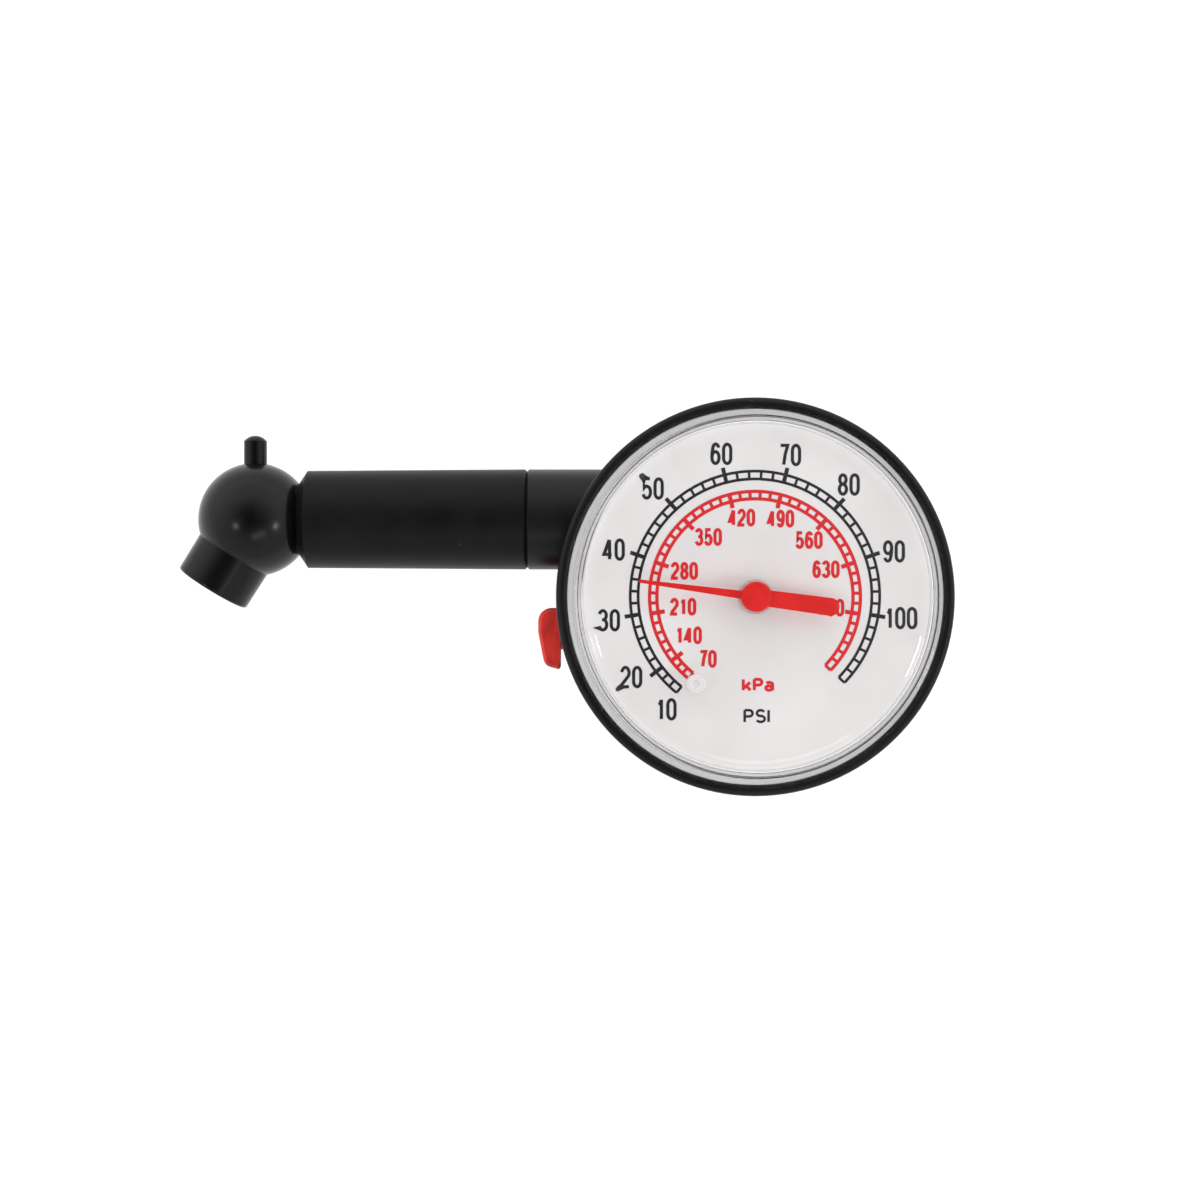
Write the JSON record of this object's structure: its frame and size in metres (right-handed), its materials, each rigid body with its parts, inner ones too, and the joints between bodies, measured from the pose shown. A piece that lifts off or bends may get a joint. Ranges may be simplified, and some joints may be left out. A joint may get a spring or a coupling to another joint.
{
  "type": "dial pressure gauge",
  "caption": "Dial tyre-pressure gauge: round case with a domed lens, side stem with a swivelling angled chuck, release button and Bourdon-tube movement.",
  "frame": {"origin": "on the pointer's axis, at the flat back face of the case", "axes": "+Z from the back towards the dial, +X away from the barrel and chuck, +Y towards the barrel's side of the dial; the dial's upright is +Y"},
  "size_m": [0.1183, 0.06, 0.0265],
  "materials": {
    "black_plastic": "moulded, fine texture",
    "black_plastic_barrel": "moulded, satin",
    "black_metal": "black lacquer on die casting",
    "rubber": "matte",
    "brass": "machined",
    "phosphor_bronze": "drawn and heat treated",
    "steel": "turned",
    "spring_steel": "drawn wire",
    "white_plastic": "moulded",
    "red_plastic": "moulded, satin",
    "red_pointer": "moulded or painted, satin",
    "dial_paint": "white enamel, printed",
    "clear_plastic": "clear moulded",
    "pale_plastic": "moulded, pale",
    "lens_plastic": "clear acrylic"
  },
  "bodies": {
    "case_body": {"case": "black_plastic", "barrel": "black_plastic_barrel", "barrel_o_ring": "rubber", "pressure_block": "brass", "block_screw_1": "steel", "block_screw_2": "steel", "check_seat": "brass", "check_spring": "spring_steel", "release_plug": "brass", "release_spring": "spring_steel", "bourdon_tube": "phosphor_bronze", "back_plate": "brass", "front_plate": "brass", "hairspring": "phosphor_bronze", "hairspring_stud": "brass", "dial_plate": "dial_paint", "stop_pin": "clear_plastic", "lens": "lens_plastic", "pillar_1": "brass", "plate_screw_1": "steel", "movement_screw_1": "steel", "pillar_2": "brass", "plate_screw_2": "steel", "movement_screw_2": "steel", "pillar_3": "brass", "plate_screw_3": "steel", "movement_screw_3": "steel"},
    "pointer_body": {"pointer": "red_pointer", "pointer_boss": "pale_plastic", "pinion_spindle": "steel", "hairspring_collet": "brass"},
    "sector_body": {"sector_gear": "brass", "sector_arbor": "steel", "link_pin": "steel"},
    "tip_body": {"bourdon_tip": "brass"},
    "link_body": {"link": "steel"},
    "button_body": {"release_button": "red_plastic", "release_plunger": "steel", "release_seal": "rubber"},
    "poppet_body": {"check_poppet": "white_plastic"},
    "chuck_body": {"chuck_head": "black_metal", "neck_o_ring": "rubber", "neck_circlip": "spring_steel", "valve_seal": "rubber", "depressor_pin": "brass"}
  },
  "joints": [
    {"name": "sector_turn", "type": "hinge", "parent": "case_body", "child": "sector_body", "pos_m": [-0.00831, -0.01064, 0.0075], "axis": [0, 0, 1], "range_deg": [-7, 27]},
    {"name": "pointer_turn", "type": "hinge", "parent": "case_body", "child": "pointer_body", "pos_m": [0, 0, 0.02], "axis": [0, 0, 1], "range_deg": [-216.2, 56.2], "deforming": ["hairspring"]},
    {"name": "tip_travel", "type": "slide", "parent": "case_body", "child": "tip_body", "axis": [0.9285, -0.3714, 0], "range_m": [-0.00063, 0.00243], "deforming": ["bourdon_tube"]},
    {"name": "link_swing", "type": "hinge", "parent": "tip_body", "child": "link_body", "pos_m": [-0.00436, -0.0189, 0.0085], "axis": [0, 0, 1], "range_deg": [-0.3, 1]},
    {"name": "button_press", "type": "slide", "parent": "case_body", "child": "button_body", "axis": [1, 0, 0], "range_m": [0, 0.0015], "stiffness_N_per_m": 1200, "springref_m": -0.001, "deforming": ["release_spring"]},
    {"name": "poppet_lift", "type": "slide", "parent": "case_body", "child": "poppet_body", "axis": [1, 0, 0], "range_m": [0, 0.0015], "stiffness_N_per_m": 60, "springref_m": -0.002, "deforming": ["check_spring"]},
    {"name": "chuck_swivel", "type": "hinge", "parent": "case_body", "child": "chuck_body", "pos_m": [-0.0698, 0.012, 0.0093], "axis": [1, 0, 0], "continuous": true}
  ],
  "couplings": [
    {"joint": "sector_turn", "follows": "tip_travel", "rad_per_m": 193.8},
    {"joint": "pointer_turn", "follows": "tip_travel", "rad_per_m": -1550.4},
    {"joint": "link_swing", "follows": "tip_travel", "rad_per_m": 5.8}
  ]
}
